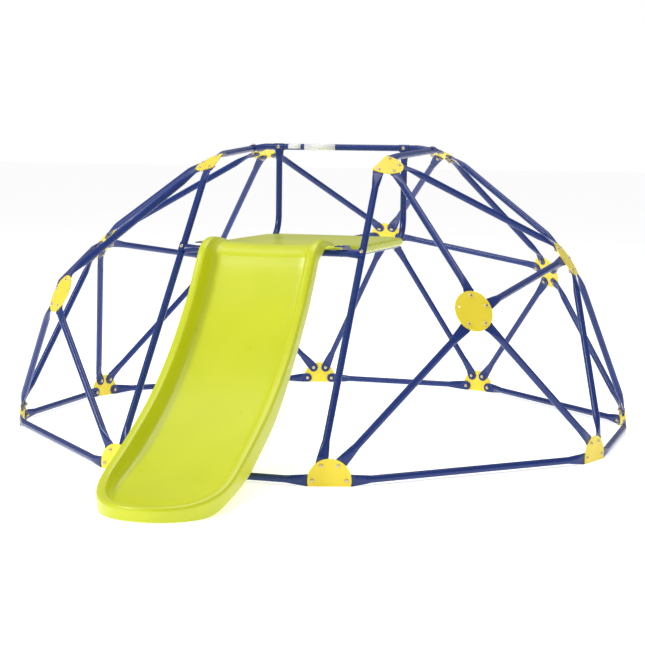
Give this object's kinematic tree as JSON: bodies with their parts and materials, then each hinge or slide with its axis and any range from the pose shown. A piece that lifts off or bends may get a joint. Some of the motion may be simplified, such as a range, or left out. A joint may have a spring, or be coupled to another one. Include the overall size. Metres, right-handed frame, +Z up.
{
  "type": "dome climber with slide",
  "caption": "Bolted dome of blue steel tubes on yellow gusset plates, with a raised lime platform on hanging bars and a moulded lime slide running to the ground.",
  "frame": {"origin": "on the ground under the middle of the outer box", "axes": "+Z up from the ground, +X to the right when facing the same way as a child looking back up the slide, the slide runs out towards -Y"},
  "size_m": [2.3806, 3.0562, 1.135],
  "materials": {
    "blue_tube": "gloss powder coat",
    "yellow_plate": "satin powder coat",
    "lime_plastic": "soft gloss moulded",
    "zinc_fastener": "yellow zinc plated",
    "white_label": "matt"
  },
  "bodies": {
    "root": {"base_plates": "yellow_plate", "base_tube_front": "blue_tube", "base_tube_front_left": "blue_tube", "base_tube_front_right": "blue_tube", "base_tube_left": "blue_tube", "base_tube_rear": "blue_tube", "base_tube_rear_left": "blue_tube", "base_tube_rear_right": "blue_tube", "base_tube_right": "blue_tube", "blank_labels": "white_label", "corner_plates": "yellow_plate", "cross_bolts": "zinc_fastener", "cross_nuts": "zinc_fastener", "front_crossbar": "blue_tube", "hanging_bar_left": "blue_tube", "hanging_bar_right": "blue_tube", "leg_front_left_a": "blue_tube", "leg_front_left_b": "blue_tube", "leg_front_right_a": "blue_tube", "leg_front_right_b": "blue_tube", "leg_left_a": "blue_tube", "leg_left_b": "blue_tube", "leg_rear_a": "blue_tube", "leg_rear_b": "blue_tube", "leg_rear_left_a": "blue_tube", "leg_rear_left_b": "blue_tube", "leg_rear_right_a": "blue_tube", "leg_rear_right_b": "blue_tube", "leg_right_a": "blue_tube", "leg_right_b": "blue_tube", "long_tube_left": "blue_tube", "long_tube_right": "blue_tube", "middle_tube_front_right_right": "blue_tube", "middle_tube_left_front_left": "blue_tube", "middle_tube_rear_left_left": "blue_tube", "middle_tube_rear_rear_left": "blue_tube", "middle_tube_rear_right_rear": "blue_tube", "middle_tube_right_rear_right": "blue_tube", "plate_bolts": "zinc_fastener", "plate_nuts": "zinc_fastener", "platform": "lime_plastic", "platform_screws": "zinc_fastener", "rear_crossbar": "blue_tube", "side_plates": "yellow_plate", "slide": "lime_plastic", "top_plates": "yellow_plate", "top_tube_left": "blue_tube", "top_tube_right": "blue_tube", "upper_tube_front_left": "blue_tube", "upper_tube_front_left_side": "blue_tube", "upper_tube_front_right": "blue_tube", "upper_tube_front_right_side": "blue_tube", "upper_tube_rear_left": "blue_tube", "upper_tube_rear_left_middle": "blue_tube", "upper_tube_rear_left_side": "blue_tube", "upper_tube_rear_right": "blue_tube", "upper_tube_rear_right_middle": "blue_tube", "upper_tube_rear_right_side": "blue_tube"}
  },
  "joints": []
}
